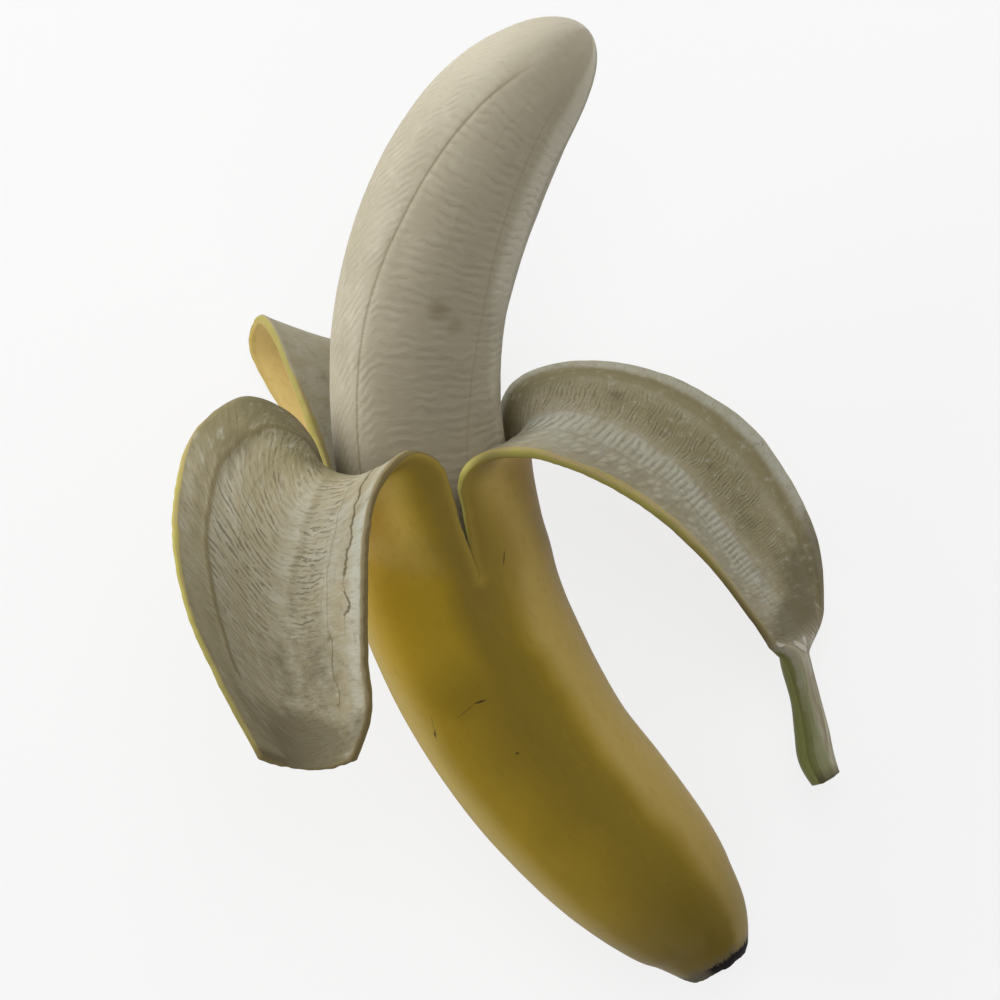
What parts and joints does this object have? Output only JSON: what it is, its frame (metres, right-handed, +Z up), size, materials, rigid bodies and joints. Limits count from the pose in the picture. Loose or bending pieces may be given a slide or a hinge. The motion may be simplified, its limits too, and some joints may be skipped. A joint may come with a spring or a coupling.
{
  "type": "half-peeled banana",
  "caption": "Ripe banana lying on its side, peeled half way down: its bare flesh stands out of peel torn into strips that fold back, one keeping the stem.",
  "frame": {"origin": "on the table, below the middle of the outline", "axes": "+X towards the stem's side, +Y towards the tip of the flesh, +Z up from the table"},
  "size_m": [0.129, 0.1871, 0.0743],
  "materials": {
    "peel_skin": "satin",
    "flesh": "matte"
  },
  "bodies": {
    "root": {"peel": "peel_skin", "flesh": "flesh"}
  },
  "joints": []
}
